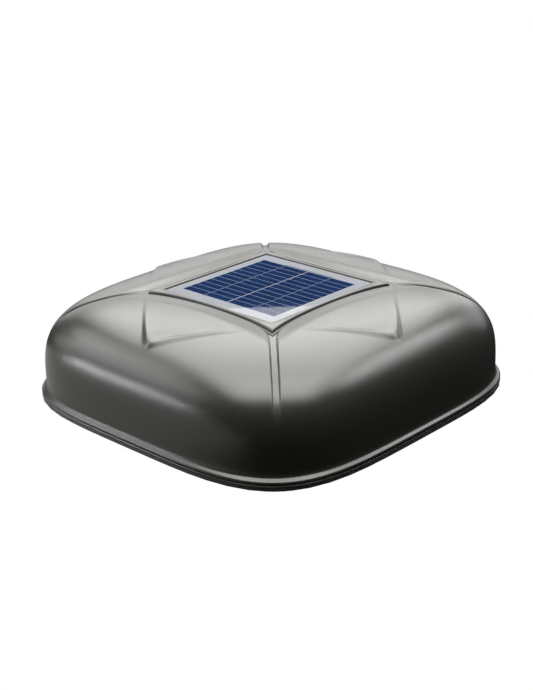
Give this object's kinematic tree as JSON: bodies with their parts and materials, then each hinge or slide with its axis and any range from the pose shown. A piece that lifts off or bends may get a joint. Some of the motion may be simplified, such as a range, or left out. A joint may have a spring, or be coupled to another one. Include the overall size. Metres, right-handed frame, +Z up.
{
  "type": "solar attic fan",
  "caption": "Roof exhaust fan with a rounded square grey hood, a solar panel in its crown, a flashing with a round throat, and a fan turned by a small motor.",
  "frame": {"origin": "centre of the flashing's underside, on the roof deck", "axes": "+Z up along the fan's shaft, +X and +Y along the hood's sides"},
  "size_m": [0.64, 0.64, 0.2017],
  "materials": {
    "hood": "satin grey moulding, weathered",
    "ring": "dark grey moulding",
    "galvanised": "galvanised sheet steel",
    "glass": "clear tempered glass",
    "cells": "blue silicon cells in clear laminate",
    "backsheet": "pale backsheet",
    "rubber": "black rubber",
    "black_plastic": "black moulded plastic",
    "motor_steel": "plated steel tube",
    "aluminium": "plain aluminium",
    "screw_steel": "bright steel",
    "ferrite": "sintered ferrite",
    "laminations": "stacked steel laminations",
    "copper": "enamelled copper",
    "carbon": "pressed carbon"
  },
  "bodies": {
    "housing": {"dome_hood": "hood", "lower_ring": "ring", "exhaust_screen": "galvanised", "base_flashing": "galvanised", "hood_bracket_1": "galvanised", "hood_screw_1": "screw_steel", "hood_bracket_rivet_1": "aluminium", "motor_bracket_rivet_1": "aluminium", "hood_bracket_2": "galvanised", "hood_screw_2": "screw_steel", "hood_bracket_rivet_2": "aluminium", "motor_bracket_rivet_2": "aluminium", "hood_bracket_3": "galvanised", "hood_screw_3": "screw_steel", "hood_bracket_rivet_3": "aluminium", "motor_bracket_rivet_3": "aluminium", "hood_bracket_4": "galvanised", "hood_screw_4": "screw_steel", "hood_bracket_rivet_4": "aluminium", "motor_bracket_rivet_4": "aluminium", "panel_glass": "glass", "cell_laminate": "cells", "panel_backsheet": "backsheet", "panel_gasket": "rubber", "junction_box": "black_plastic", "junction_box_lid": "black_plastic", "motor_bracket": "galvanised", "motor_can": "motor_steel", "motor_front_bell": "aluminium", "motor_rear_bell": "black_plastic", "front_bearing_outer": "screw_steel", "rear_bearing_outer": "screw_steel", "magnet_1": "ferrite", "brush_1": "carbon", "magnet_2": "ferrite", "brush_2": "carbon", "brush_holder": "black_plastic", "motor_screw_1": "screw_steel", "motor_screw_2": "screw_steel", "motor_screw_3": "screw_steel", "thermostat_bracket": "galvanised", "thermostat": "black_plastic", "panel_lead": "rubber", "motor_lead": "rubber"},
    "rotor": {"front_bearing_inner": "screw_steel", "rear_bearing_inner": "screw_steel", "motor_shaft": "screw_steel", "armature_core": "laminations", "armature_winding": "copper", "commutator": "copper", "fan_hub": "aluminium", "fan_blade_1": "aluminium", "fan_blade_2": "aluminium", "fan_blade_3": "aluminium", "fan_blade_4": "aluminium", "fan_blade_5": "aluminium", "hub_set_screw": "screw_steel"}
  },
  "joints": [
    {"name": "fan_spin", "type": "hinge", "parent": "housing", "child": "rotor", "pos_m": [0, 0, 0.053], "axis": [0, 0, 1], "continuous": true}
  ]
}
